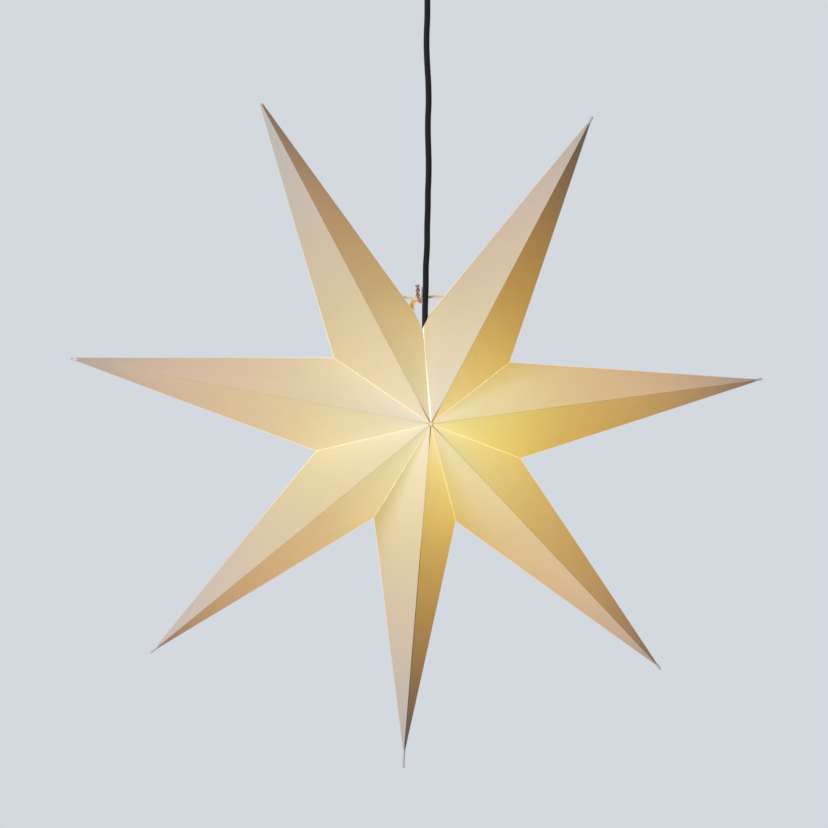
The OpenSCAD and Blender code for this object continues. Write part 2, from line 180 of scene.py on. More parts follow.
# Paint is one material with its Principled shader
class Paint:
    def __init__(self, name, **constants):
        self.material = bpy.data.materials.new(name)
        self.material.use_nodes = True
        self.material.cycles.emission_sampling = "NONE"    # a glow is seen, and the lamps do the lighting
        self.tree = self.material.node_tree
        self.shader = next(n for n in self.tree.nodes if n.type == "BSDF_PRINCIPLED")
        for socket, value in constants.items():
            self.shader.inputs[socket.replace("_", " ")].default_value = value

    # Settings are set first, then each socket gets a value or a link
    def node(self, kind, settings=None, inputs=None, out=0):
        made = self.tree.nodes.new(kind)
        for name, value in (settings or {}).items():
            if name == "stops":
                fillRamp(made.color_ramp, value)
            else:
                setattr(made, name, value)
        for name, value in (inputs or {}).items():
            if isinstance(value, Wire):
                self.tree.links.new(value.socket, made.inputs[name])
            else:
                made.inputs[name].default_value = value
        return Wire(self, made.outputs[out])

    def feed(self, **sockets):
        for name, wire in sockets.items():
            self.tree.links.new(wire.socket, self.shader.inputs[name.replace("_", " ")])
        return self.material

    def place(self):
        return self.node("ShaderNodeTexCoord", out="Object")

    def parts(self, name):
        vector = self.node("ShaderNodeAttribute", {"attribute_name": name}, out="Vector")
        return [self.node("ShaderNodeSeparateXYZ", None, {0: vector}, out=i) for i in range(3)]

    def stretch(self, vector, scale, turn=(0, 0, 0)):
        return self.node("ShaderNodeMapping", None, {"Vector": vector, "Scale": scale, "Rotation": turn})

    def noise(self, vector, scale, detail=3.0, rough=0.5):
        return self.node("ShaderNodeTexNoise", None,
                         {"Vector": vector, "Scale": scale, "Detail": detail, "Roughness": rough})

    def ease(self, value, low, high, fromValue=0.0, toValue=1.0):
        return self.node("ShaderNodeMapRange", {"interpolation_type": "SMOOTHSTEP"},
                         {"Value": value, "From Min": low, "From Max": high,
                          "To Min": fromValue, "To Max": toValue})

    def ramp(self, value, stops, interpolation="LINEAR"):
        return self.node("ShaderNodeValToRGB", {"stops": (interpolation, stops)}, {0: value})

    # Colours are links or three numbers
    def mix(self, factor, a, b, blend="MIX"):
        a, b = (colour if isinstance(colour, Wire) else (*colour, 1) for colour in (a, b))
        return self.node("ShaderNodeMix", {"data_type": "RGBA", "blend_type": blend},
                         {0: factor, 6: a, 7: b}, out=2)

    # A colour times a number
    def dim(self, colour, amount):
        return self.node("ShaderNodeVectorMath", {"operation": "SCALE"}, {0: colour, "Scale": amount})

    def plus(self, a, b):
        return self.node("ShaderNodeVectorMath", {"operation": "ADD"}, {0: a, 1: b})

    def bump(self, height, strength, distance):
        return self.node("ShaderNodeBump", None,
                         {"Height": height, "Strength": strength, "Distance": distance})


def fillRamp(ramp, value):
    interpolation, stops = value
    ramp.interpolation = interpolation
    while len(ramp.elements) > 1:
        ramp.elements.remove(ramp.elements[-1])
    for i, (place, colour) in enumerate(stops):
        element = ramp.elements[0] if i == 0 else ramp.elements.new(place)
        element.position = place
        element.color = (*colour, 1.0)


# Quads between neighbouring rows and columns of a grid of points that is counted row by row
def gridFaces(rows, columns, start=0, closed=True, flip=False):
    row, column = np.meshgrid(np.arange(rows - 1), np.arange(columns if closed else columns - 1),
                              indexing="ij")
    beside = (column + 1) % columns
    quads = np.stack([row * columns + column, row * columns + beside,
                      (row + 1) * columns + beside, (row + 1) * columns + column], axis=-1)
    quads = quads.reshape(-1, 4) + start
    return (quads[:, ::-1] if flip else quads).tolist()


# Triangles from one ring of points to a single point
def fanFaces(ring, columns, middle, flip=False):
    i = np.arange(columns)
    faces = np.stack([ring + i, ring + (i + 1) % columns, np.full(columns, middle)], axis=-1)
    return (faces[:, ::-1] if flip else faces).tolist()


# A mesh that rides on the body, with its finish, the nodes it stands for and facts for its shader
def makePiece(name, points, faces, materials, replaced=(), facts=None, indices=None,
              foldAngle=None):
    mesh = bpy.data.meshes.new(name)
    mesh.from_pydata(np.asarray(points).tolist(), [], faces)
    for key, values in (facts or {}).items():
        layer = mesh.attributes.new(key, "FLOAT_VECTOR", "POINT")
        layer.data.foreach_set("vector", np.asarray(values, dtype=np.float32).ravel())
    for material in materials:
        mesh.materials.append(material)
    if indices is not None:
        mesh.polygons.foreach_set("material_index", np.asarray(indices, dtype=np.int32))
    mesh.polygons.foreach_set("use_smooth", np.ones(len(mesh.polygons), dtype=bool))
    mesh.update()
    if foldAngle:
        mesh.set_sharp_from_angle(angle=math.radians(foldAngle))
    piece = putInScene(name, mesh)
    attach(piece, "root")
    if replaced:
        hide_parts(*replaced)
    return piece


# The way of the path at each of its points, and the two ways square to it
def pathWays(path, side):
    way = np.gradient(path, axis=0)
    way /= np.linalg.norm(way, axis=1, keepdims=True)
    side = np.broadcast_to(np.asarray(side, dtype=float), path.shape)
    across = side - way * np.sum(side * way, axis=1, keepdims=True)
    across /= np.linalg.norm(across, axis=1, keepdims=True)
    return way, across, np.cross(way, across)


# A smooth curve through given points, even along its length
def curveThrough(points, count):
    p = np.asarray(points, dtype=float)
    p = np.vstack([2 * p[0] - p[1], p, 2 * p[-1] - p[-2]])
    t = np.linspace(0, len(p) - 3 - 1e-9, 40 * len(p))
    i, f = t.astype(int), (t % 1)[:, None]
    a, b, c, d = p[i], p[i + 1], p[i + 2], p[i + 3]
    line = 0.5 * (2 * b + (c - a) * f + (2 * a - 5 * b + 4 * c - d) * f ** 2
                  + (3 * b - a - 3 * c + d) * f ** 3)
    run = runAlong(line)
    even = np.linspace(0, run[-1], count)
    return np.stack([np.interp(even, run, line[:, j]) for j in range(3)], axis=1)


# The cord: a braided black cover over two leads, from inside the ceiling cup to inside the lampholder
cord = {
    "diameter": 6.0,
    "strands": 8,          # strands each way round
    "pitch": 26.0,         # one full turn of a strand
    "relief": 0.13,        # how far a strand's crown stands above its sides
    "rings": 760,
    "sides": 48,
    "exit": (0, 0, -0.406),
    "route": [
        (0, 0, -0.040), (0, 0, -0.060), (0, 0, -0.075), (0, 0, -0.090), (-0.0005, 0, -0.105),
        (-0.0005, 0, -0.120), (0.0005, 0, -0.140), (0.0015, 0, -0.155), (0.002, 0, -0.175),
        (0.0015, 0, -0.190), (0.0015, 0, -0.205), (0.002, 0, -0.220), (0.0025, 0, -0.235),
        (0.0025, 0, -0.250), (0.002, 0, -0.265), (0.002, 0, -0.280), (0.0015, 0, -0.300),
        (0.0015, 0, -0.320), (0.0005, 0, -0.340), (0.0005, 0, -0.360), (0, 0, -0.380),
        (0, 0, -0.400), (0, 0, -0.415),
    ],
    "colour": (0.007, 0.007, 0.008),
    "sheen": (0.026, 0.025, 0.028),
    "lint": (0.09, 0.088, 0.09),
    "fibreScale": (900, 900, 2600),
}


# Strands carry a painted sheen on their crowns, and fine fibre roughens them
def cordPaint():
    paint = Paint("braidedCord", Roughness=0.85, Sheen_Weight=0.08, Sheen_Roughness=0.4,
                  Specular_IOR_Level=0.2)
    height = paint.parts("weave")[0]
    fibre = paint.noise(paint.stretch(paint.place(), cord["fibreScale"]), 1.0, 4.0, 0.6)
    crown = paint.ease(height, 0.2, 1.0)
    colour = paint.mix(crown, cord["colour"], cord["sheen"])
    colour = paint.mix(fibre * 0.4, colour, cord["lint"], "SOFT_LIGHT")
    return paint.feed(Base_Color=colour, Roughness=paint.ease(fibre, 0.3, 0.7, 0.75, 0.95),
                      Normal=paint.bump(fibre, 0.5, 0.0002))


# Two families of strands, sin(n (angle + turn) / 2) and sin(n (angle - turn) / 2), wind opposite
# ways, and the sign of their product says which lies on top. The radius is the cord's plus the
# relief times that strand's height.
def makeCord():
    path = curveThrough(cord["route"][::-1], cord["rings"])
    run = runAlong(path)
    way, across, out = pathWays(path, (1, 0, 0))
    around = roundCircle(cord["sides"])
    turn = 2 * np.pi * run / (cord["pitch"] * mm)
    one = cord["strands"] * (around[None] + turn[:, None]) / 2
    other = cord["strands"] * (around[None] - turn[:, None]) / 2
    onTop = np.sign(np.sin(one) * np.sin(other))
    lift = np.where(onTop > 0, np.abs(np.sin(one)), np.abs(np.sin(other))) ** 0.7
    radius = (cord["diameter"] / 2 + cord["relief"] * (lift - 0.75)) * mm
    outwards = np.cos(around)[:, None] * across[:, None] + np.sin(around)[:, None] * out[:, None]
    points = path[:, None] + radius[..., None] * outwards
    rows, columns = radius.shape
    ends = np.array([path[0], path[-1]])
    faces = gridFaces(rows, columns)
    faces += fanFaces(0, columns, rows * columns, flip=True)
    faces += fanFaces((rows - 1) * columns, columns, rows * columns + 1)
    weave = np.zeros((lift.size + 2, 3))
    weave[:-2, 0] = lift.ravel()
    piece = makePiece("braidedCord", np.vstack([points.reshape(-1, 3), ends]), faces, [cordPaint()],
                      ["cord"], {"weave": weave})


makeCord()
print("cord made")


# The card glows by how far out a place is, from the centre (0) to the tip (1)
card = {
    # the base colour over the same distance holds painted light: dimmer and tinted towards the centre to
    # go with the glow, and paler on the pressed end as a painted highlight
    "base": [(0.0, (0.407, 0.340, 0.406)), (0.33, (0.420, 0.420, 0.360)), (0.66, (0.492, 0.470, 0.450)),
             (0.95, (0.527, 0.522, 0.508)), (1.0, (0.74, 0.73, 0.75))],
    "glow": [(0.0, (0.804, 0.742, 0.400)), (0.095, (0.783, 0.689, 0.316)), (0.19, (0.773, 0.625, 0.244)),
             (0.285, (0.752, 0.545, 0.196)), (0.38, (0.702, 0.458, 0.154)), (0.522, (0.655, 0.379, 0.107)),
             (0.665, (0.569, 0.304, 0.076)), (0.808, (0.421, 0.201, 0.039)), (0.95, (0.188, 0.042, 0.000)),
             (1.0, (0.000, 0.000, 0.000))],
    # each point's panel before its fold, going clockwise, and the one after it: how brightly it
    # glows at the centre and at the tip, how pale the glow is there, and how warm it is
    "panelGlow": [((0.60, 0.03, -0.23, 0.05), (0.76, 0.37, -0.03, 0.05)),
                  ((0.54, 0.33, 0.07, 0.00), (0.92, 0.13, -0.27, 0.12)),
                  ((0.73, 0.61, -0.09, -0.10), (0.91, 0.56, -0.35, -0.05)),
                  ((0.89, 0.51, -0.20, -0.04), (0.70, 0.65, -0.12, -0.12)),
                  ((1.00, 0.11, -0.31, 0.07), (0.66, 0.14, -0.12, -0.05)),
                  ((0.77, 0.80, 0.05, -0.13), (0.63, 0.20, -0.19, -0.07)),
                  ((0.69, 0.57, -0.01, -0.13), (0.65, 0.56, 0.17, -0.12))],
    "paleGlow": (0.02, 0.12, 0.42),
    "litShare": 0.95,      # the glow's colours run out to this share, and the pressed ends take the rest
    "leak": (1.0, 0.90, 0.52),
    "seamLeak": (1.0, 0.98, 0.84),
    # the card's inner side glows in this colour, painted light of the bulb inside
    "inside": (1.0, 0.78, 0.42),
    # how dark the painted shade along each point's fold line is, and how dark it is near the centre
    "crease": (0.5, 0.55, 0.45, 0.55, 0.5, 0.25, 0.25),
    "creaseAtCentre": (1.3, 1.3, 0.6, 1.0, 1.5, 0.45, 0.4),
    "overlapShadowPoint": 4,         # on this point's fold, a painted purple brown shadow of the overlapping card edge runs towards its tip
    "centreMark": (0.16, 0.10, 0.05),
    # half width and brightness of the light line in a valley, and in the open top seam, by share of
    # the way from the centre to the notch
    "leakShares": (0.0, 0.1, 0.3, 0.55, 0.72, 0.79, 0.85, 0.9, 1.0),
    "valleyLeak": ((0.3, 0.4, 0.45, 0.5, 0.5, 0.5, 0.45, 0.45, 0.4),
                   (0.3, 0.45, 0.6, 0.65, 0.65, 0.65, 0.6, 0.6, 0.5)),
    "seamOpen": ((0.7, 1.2, 1.1, 0.9, 0.6, 0.6, 1.2, 1.8, 2.0),
                 (0.8, 0.95, 1.0, 1.0, 0.8, 0.8, 0.95, 1.0, 1.0)),
    "creaseShadeColour": (0.22, 0.13, 0.04),
    "creaseGlow": (0.06, 0.03, 0.0),
    "overlapShadowColour": (0.10, 0.05, 0.07),
    "paleFibre": (0.7, 0.66, 0.6),
    "rimLight": (1.0, 0.86, 0.6),
    "bow": 0.4,            # how far a panel's middle stands out
    "foldAngle": 20,
    "rings": 84,
    "innerRings": 14,
    "pressedFrom": 0.962,  # the share of a point's length at which its pressed end begins
    "nibRings": 18,
    "glueShare": 0.03,     # where a root line leaves the centre gap and follows the valley
    "holeShare": 0.9,      # where it reaches the cord hole, beside the top notch
    "holeShift": 1.3,
    "cordRoom": 0.3,
    "holeStart": 0.84,     # how far along the hole's depth its side meets the glue line
    "holeHalfWidth": 7.6,
    "holeHalfDepth": 7.5,
    "nibWidth": 2.5,
    "nibThickness": 1.3,
}


# Each corner carries its distances from fold, valley and edge in millimetres, and the shares
# that say how it glows. The glow is the ramp over its distance out times its panel's level.
def cardPaint():
    paint = Paint("card", Specular_IOR_Level=0.3, Emission_Strength=1.0)
    place = paint.place()
    ridge, valley, edge = paint.parts("seams")
    along, glow, warmth = paint.parts("light")
    crease, overlapShadow, inner = paint.parts("fold")
    cloud = paint.noise(place, 55.0, 4.0, 0.55)
    flocks = paint.noise(place, 230.0, 4.0, 0.6)
    fibre = paint.noise(place, 900.0, 3.0, 0.6)
    # base colour with painted light: dimmer towards the centre, paler on the pressed end as a painted
    # highlight
    base = paint.ramp(along, card["base"])
    fold = 1 - paint.ease(ridge, crease * 0.4, crease * 0.75 + 0.55)
    foldLine = fold * crease
    # painted shade along each fold line, here in the base colour
    base = paint.mix(foldLine * 0.75, base, card["creaseShadeColour"])
    # painted shadow of the overlapping card edge on one fold, in the base colour and in the glow
    base = paint.mix(fold * overlapShadow, base, card["overlapShadowColour"])
    base = paint.mix(paint.ease(fibre, 0.3, 0.75) * 0.08, base, card["paleFibre"])
    pale, leakWidth, leakPower = paint.parts("tone")
    shine = (0.94 + cloud * 0.12) * (0.96 + flocks * 0.08) * (0.97 + fibre * 0.06)
    shine = shine * (1 - fold * overlapShadow)
    light = paint.dim(paint.ramp(along, card["glow"]), glow)
    light = paint.mix(warmth, light, (1, 0, 0.3), "MULTIPLY")
    light = paint.plus(light, paint.dim(card["paleGlow"], pale))
    # the same painted shade along the fold line, in the glow
    light = paint.mix(foldLine * 0.62, paint.dim(light, shine), card["creaseGlow"])
    ragged = paint.noise(place, 260.0, 2.0, 0.6)
    width = leakWidth * paint.ease(ragged, 0.3, 0.7, 0.6, 1.5)
    leakLine = (1 - paint.ease(valley, width * 0.4, width)) * (1 - inner) * leakPower
    leakColour = paint.mix(paint.ease(leakPower, 0.74, 0.79), card["leak"], card["seamLeak"])
    light = paint.mix(leakLine, light, leakColour)
    rim = (1 - paint.ease(edge, 0.3, 1.1)) * paint.ease(along, 0.28, 0.65, 0.72, 0.2)
    light = paint.mix(rim, light, card["rimLight"])
    specks = paint.noise(place, 1300.0, 2.0, 0.5)
    mark = (1 - paint.ease(along, 0.004, 0.011)) * paint.ease(specks, 0.44, 0.58) * (1 - inner)
    light = paint.mix(mark, light, card["centreMark"])
    light = paint.mix(inner, light, card["inside"])
    grain = fibre * 0.6 + flocks * 0.4
    return paint.feed(Base_Color=base, Emission_Color=light,
                      Roughness=paint.ease(fibre, 0.2, 0.8, 0.72, 0.88),
                      Normal=paint.bump(grain, 0.12, 0.0002))


# Distance of each point from the line through a and b
def distanceToLine(points, a, b):
    way = (b - a) / np.linalg.norm(b - a)
    return np.linalg.norm(np.cross(points - a, way), axis=-1)


# The valley beside a point, on its clockwise side (1) or the other (-1)
def valleyNumber(k, side):
    return k if side > 0 else k + star["points"] - 1


# The root line of one panel, from the fold at the centre along the valley to the notch. Share 0 is
# the fold, and 1 the notch or the side of the cord hole.
def rootLine(k, side, face, share):
    front = np.array([0, face * star["halfDepth"], 0.0])
    number = valleyNumber(k, side)
    notch, apex = notchAt(number), apexAt(k)
    glueWay = onRing(1.0, notchAngle(number) - side * 90) * star["glueGap"] / 2
    reach = star["centreGap"] / 2
    inLine = math.cos(math.radians(notchAngle(number) - tipAngle(k)))
    ridgeStart = front + (apex - front) * (reach * abs(inLine) / np.linalg.norm(apex))
    glueStart = front + (notch - front) * (reach / np.linalg.norm(notch)) + glueWay
    glue, hole = card["glueShare"], card["holeShare"]
    part = np.clip((share - hole) / (1 - hole), 0, 1)
    if number % star["points"] == 0:
        corner = holeOutline(k, side, face, front, notch, apex, part)
        holeStart = holeOutline(k, side, face, front, notch, apex, np.array([0.0]))[0]
    else:
        holeStart = glueStart + (notch + glueWay - glueStart) * hole
        corner = holeStart + (notch + glueWay - holeStart) * part[:, None]
    nearCentre = ridgeStart + (glueStart - ridgeStart) * np.clip(share / glue, 0, 1)[:, None]
    onValley = (glueStart + (holeStart - glueStart)
                * np.clip((share - glue) / (hole - glue), 0, 1)[:, None])
    line = np.where(share[:, None] <= glue, nearCentre, onValley)
    return np.where(share[:, None] > hole, corner, line)


# The cord hole, seen from above, is a diamond that is rounded out round the cord. Part 0 is where
# its side meets the glue line, and part 1 where it meets the outline at the middle plane.
def holeOutline(k, side, face, front, notch, apex, part):
    middle = notch[0] - card["holeShift"]
    toCord = -star["centre"][0] - middle
    room = cord["diameter"] / 2 + card["cordRoom"]
    outward = 1 if k == 1 else -1
    glueX = notch[0] + outward * star["glueGap"] / 2
    startAngle = math.atan2(card["holeHalfDepth"] * card["holeStart"], outward * (glueX - middle))
    angle = startAngle * (1 - part)
    width, depth = card["holeHalfWidth"], card["holeHalfDepth"]
    reach = 1 / (np.cos(angle) / width + np.abs(np.sin(angle)) / depth)
    c = toCord * outward
    inside = np.maximum(room ** 2 - (c * np.sin(angle)) ** 2, 0)
    reach = np.maximum(reach, np.where(inside > 0, c * np.cos(angle) + np.sqrt(inside), 0))
    x = middle + outward * reach * np.cos(angle)
    y = face * reach * np.sin(angle)
    normal = np.cross(apex - front, notch - front)
    z = front[2] - (normal[0] * (x - front[0]) + normal[1] * (y - front[1])) / normal[2]
    return np.stack([x, y, z], axis=-1)


cardFacts = ("seams", "light", "fold", "tone")


# Columns of one panel from its fold to its outer edge
def panelShares():
    hole = card["holeShare"]
    return np.r_[0, card["glueShare"], np.linspace(0.08, hole, 16), np.linspace(hole, 1, 6)[1:]]


# Four panels make a ring. A panel is its root line times (1 - row) plus the tip times row, and it
# bows out by the product of two half sine waves.
def ringOfPanels(k, rows):
    share, apex = panelShares(), apexAt(k)
    reach = np.linalg.norm(apex)
    blocks = {key: [] for key in ("points", *cardFacts)}
    for side, face, shares in [(1, -1, share[:-1]), (1, 1, share[:0:-1]),
                               (-1, 1, share[:-1]), (-1, -1, share[:0:-1])]:
        number = valleyNumber(k, side)
        middle, notch = np.array([0, face * star["halfDepth"], 0.0]), notchAt(number)
        line = rootLine(k, side, face, shares)
        panel = line[None] + (apex - line)[None] * rows[:, None, None]
        ridge = distanceToLine(panel, middle, apex)
        valley = distanceToLine(panel, middle, notch)
        edge = distanceToLine(panel, notch, apex)
        normal = np.cross(apex - middle, notch - middle)
        normal *= face * np.sign(normal[1]) / np.linalg.norm(normal)
        bulge = card["bow"] * np.sin(np.pi * shares) * (np.sin(np.pi * rows) ** 0.8)[:, None]
        panel = panel + normal * bulge[..., None]
        atCentre, atTip, paleness, warmth = card["panelGlow"][k][0 if side < 0 else 1]
        outwards = np.minimum(np.hypot(panel[..., 0], panel[..., 2]) / reach, 1)
        glow = atCentre + (atTip - atCentre) * outwards
        near = 1 - smooth(rows * reach, 6, 30)
        # how dark the painted shade along the fold is
        crease = card["crease"][k] + (card["creaseAtCentre"][k] - card["crease"][k]) * near
        # where the painted shadow of the overlapping edge lies
        overlapShadow = smooth(rows, 0.28, 0.42) * 0.9 * (k == card["overlapShadowPoint"])
        leakWidth, leakPower = (np.interp(shares, card["leakShares"], values) for values in
                                card["seamOpen" if number % star["points"] == 0 else "valleyLeak"])
        blocks["points"].append(panel)
        blocks["seams"].append(together(glow.shape, ridge, valley, edge))
        blocks["light"].append(together(glow.shape, outwards * card["litShare"], glow, warmth))
        blocks["fold"].append(together(glow.shape, crease[:, None], overlapShadow[:, None], 0.0))
        blocks["tone"].append(together(glow.shape, paleness * (1 - outwards), leakWidth, leakPower))
    return {key: np.concatenate(value, axis=1) for key, value in blocks.items()}


# The pressed end blends the ring, drawn in towards the tip, into a flat bar of rounded section,
# whose half width and half thickness are |cos| and |sin| to the power 0.6
def pressedEnd(ring, apex, tipWay, sideWay, end, drawn):
    spread = ring - ring.mean(axis=0)
    turn = np.arctan2(spread @ depthWay / np.abs(ring @ depthWay).max(),
                      spread @ sideWay / np.abs(spread @ sideWay).max())
    flat, thick = (np.abs(wave) ** 0.6 * np.sign(wave) * size / 2 for wave, size in
                   ((np.cos(turn), card["nibWidth"]), (np.sin(turn), card["nibThickness"])))
    rounding = np.sqrt(np.clip(1 - np.clip((drawn - 0.9) / 0.1, 0, 0.97) ** 2, 0, 1))
    start = np.mean(ring @ tipWay)
    bar = ((start + (end - start) * drawn)[:, None, None] * tipWay + rounding[:, None, None] *
           (flat[:, None] * sideWay + thick[:, None] * depthWay))
    onPanels = apex + (ring - apex) * (1 - drawn)[:, None, None]
    blend = smooth(drawn, 0, 0.55)[:, None, None]
    return onPanels * (1 - blend) + bar * blend


# One point: its ring of panels carried out to the pressed end, the same ring moved inwards for the
# card's inner side, and its glue flaps
def starPoint(k):
    apex = apexAt(k)
    tipWay = apex / np.linalg.norm(apex)
    sideWay = np.cross(depthWay, tipWay)
    data = ringOfPanels(k, np.linspace(0, 1, card["rings"]) ** 0.9 * card["pressedFrom"])
    ring = data["points"][-1]
    columns = len(ring)
    end = np.linalg.norm(apex) + star["nibExtra"][k]
    drawn = np.linspace(0, 1, card["nibRings"] + 1)[1:]
    nib = pressedEnd(ring, apex, tipWay, sideWay, end, drawn)
    outer = bendTip(k, np.concatenate([data["points"], nib], axis=0), tipWay, sideWay, end)
    rowsOuter = len(outer)
    facts = {}
    for key in cardFacts:
        last = np.repeat(data[key][-1:], len(drawn), axis=0)
        if key == "light":
            last[..., 0] += (1 - last[..., 0]) * np.clip(drawn * 3, 0, 1)[:, None]
        if key == "seams":
            last = last + 1.5 * smooth(drawn, 0, 0.5)[:, None, None]
        facts[key] = np.concatenate([data[key], last], axis=0).reshape(-1, 3)
    pick = np.unique(np.linspace(0, card["rings"] - 4, card["innerRings"]).astype(int))
    inner = data["points"][pick] + wallShift(k)
    points = np.vstack([outer.reshape(-1, 3), outer[-1].mean(axis=0),
                        inner.reshape(-1, 3), inner[-1].mean(axis=0)])
    innerStart = rowsOuter * columns + 1
    innerLast = innerStart + (len(pick) - 1) * columns
    faces = gridFaces(rowsOuter, columns)
    faces += fanFaces((rowsOuter - 1) * columns, columns, rowsOuter * columns)
    faces += gridFaces(len(pick), columns, innerStart, flip=True)
    faces += fanFaces(innerLast, columns, innerLast + columns, flip=True)
    i = np.arange(columns)
    j = (i + 1) % columns
    faces += np.stack([j, i, innerStart + i, innerStart + j], axis=-1).tolist()
    innerLight = data["light"][pick].reshape(-1, 3)
    innerFacts = {"seams": np.full((len(innerLight) + 1, 3), 20.0),
                  "light": np.vstack([innerLight, innerLight[-1:]]),
                  "fold": np.tile([0.0, 0.0, 1.0], (len(innerLight) + 1, 1)),
                  "tone": np.zeros((len(innerLight) + 1, 3))}
    facts = {key: np.vstack([facts[key], facts[key][-1:], innerFacts[key]]) for key in facts}
    for plate in glueFlaps(k):
        base = len(points)
        points = np.vstack([points, plate])
        faces += [[base + v for v in f] for f in
                  ([3, 2, 1, 0], [4, 5, 6, 7], [0, 1, 5, 4], [1, 2, 6, 5], [2, 3, 7, 6], [3, 0, 4, 7])]
        for key, row in (("seams", (20, 20, 20)), ("light", (0.1, 1, 0)), ("fold", (0, 0, 1)),
                         ("tone", (0, 0, 0))):
            facts[key] = np.vstack([facts[key], np.tile(row, (8, 1))])
    return points * mm + starCentre, faces, facts


# Bends of the pressed ends: how far each is pushed sideways and back, and over what length
tipBends = [(0, 0, 8), (0, 0, 8), (-0.8, 0, 20), (1.0, 0, 7), (-1.2, 0, 5), (0.3, 0, 8), (-0.2, 0, 10)]


# A tip is pushed by the square of the way along its last few millimetres
def bendTip(k, points, tipWay, sideWay, end):
    side, back, length = tipBends[k]
    t = np.clip((points @ tipWay - (end - length)) / length, 0, 1) ** 2
    return points + t[..., None] * (side * sideWay + back * depthWay)


# The way that a front panel faces
def panelNormal(k, side):
    front = np.array([0, -star["halfDepth"], 0.0])
    normal = np.cross(apexAt(k) - front, notchAt(valleyNumber(k, side)) - front)
    return normal * -np.sign(normal[1]) / np.linalg.norm(normal)


# The move along the middle plane that takes both front panels inwards by one card thickness
def wallShift(k):
    a, b = panelNormal(k, -1), panelNormal(k, 1)
    det = a[0] * b[2] - a[2] * b[0]
    return star["cardThickness"] * np.array([(a[2] - b[2]) / det, 0, (b[0] - a[0]) / det])


# Thin plates in the planes of the point's two notches, just inside the valleys
def glueFlaps(k, bare=16, plainEnd=5, seamEnd=28, width=10, setBack=0.1):
    plates = []
    for side in (1, -1):
        number = valleyNumber(k, side)
        outWay = onRing(1.0, notchAngle(number))
        offWay = onRing(1.0, notchAngle(number) - side * 90)
        r, depth = notchRadius(number), star["halfDepth"]
        length = math.hypot(r, depth)
        end = seamEnd if number % star["points"] == 0 else plainEnd
        for face in (-1, 1):
            along = (outWay * r - depthWay * face * depth) / length
            inward = (-outWay * depth - depthWay * face * r) / length
            corner = depthWay * face * depth
            outline = np.array([corner + along * bare, corner + along * (length - end),
                                corner + along * (length - end - width) + inward * width,
                                corner + along * (bare + width) + inward * width])
            near, far = outline + offWay * setBack, outline + offWay * (setBack + star["cardThickness"])
            plate = np.vstack([near, far])
            up = np.cross(outline[1] - outline[0], outline[3] - outline[0]) @ offWay
            plates.append(plate if up > 0 else plate[[3, 2, 1, 0, 7, 6, 5, 4]])
    return plates


# Cotton tapes through a hole in each of the two top points, tied behind the cord.
# Places are in the star's own millimetres.
tie = {
    "width": 3.9,
    "thickness": 0.55,
    "depth": 6.0,
    "height": 129.7,
    "holeDiameter": 5.0,
    "holeSides": 32,
    "holeRun": 16.0,       # length of the punch
    "stopperSize": 5.9,
    "knotSize": 6.6,
    "knotAt": (-1.2, 6.2, 126.2),
    "knotDepth": 1.6,      # how much thicker than a flat three-lobed knot
    "strandWidth": 2.4,
    "strandThickness": 1.6,
    "curlWidth": 5.4,
    "tailWidth": 4.4,
    "tailThickness": 2.2,
    "curlAt": (4.6, 8.2, 117.6),
    "curlRadius": 13.6,
    "curlAngles": (122, 188),
    "threadPitch": 0.5,
    "starlight": 0.22,     # the lit star close by brightens the tapes this much
    # The tapes are one pale cotton. Their tones, one for each part, are painted light and shade: warm
    # where the lit star shines on them, darker where they are shaded.
    "cream": (1.0, 0.84, 0.55),
    "peach": (1.0, 0.74, 0.48),
    "tan": (0.86, 0.50, 0.19),
    "purple": (0.34, 0.21, 0.20),
    "greyGreen": (0.50, 0.52, 0.42),
    "red": (0.66, 0.30, 0.17),
}


# Plain weave from the tape's own measures: a thread each way, up and down in turn
def tapePaint():
    paint = Paint("cottonTape", Roughness=0.9, Specular_IOR_Level=0.2, Emission_Strength=1.0)
    along, across, rim = paint.parts("weave")
    tone = paint.node("ShaderNodeAttribute", {"attribute_name": "tone"}, out="Vector")
    turn = 2 * math.pi / tie["threadPitch"]
    warp = paint.node("ShaderNodeMath", {"operation": "SINE"}, {0: across * turn})
    weft = paint.node("ShaderNodeMath", {"operation": "SINE"}, {0: along * turn})
    weave = warp * weft * 0.5 + 0.5
    lint = paint.noise(paint.place(), 1800.0, 4.0, 0.65)
    stain = paint.noise(paint.place(), 160.0, 3.0, 0.5)
    shade = (0.78 + weave * 0.2) * (0.9 + stain * 0.22) * (0.92 + lint * 0.16)
    # a painted highlight along one edge, brightening the tone towards pale cream
    colour = paint.mix(rim * 0.85, paint.dim(tone, shade), (1.0, 0.93, 0.74))
    return paint.feed(Base_Color=colour, Emission_Color=paint.dim(colour, tie["starlight"]),
                      Roughness=paint.ease(lint, 0.2, 0.8, 0.82, 0.96),
                      Normal=paint.bump(weave * 0.7 + lint * 0.3, 0.5, 0.00015))


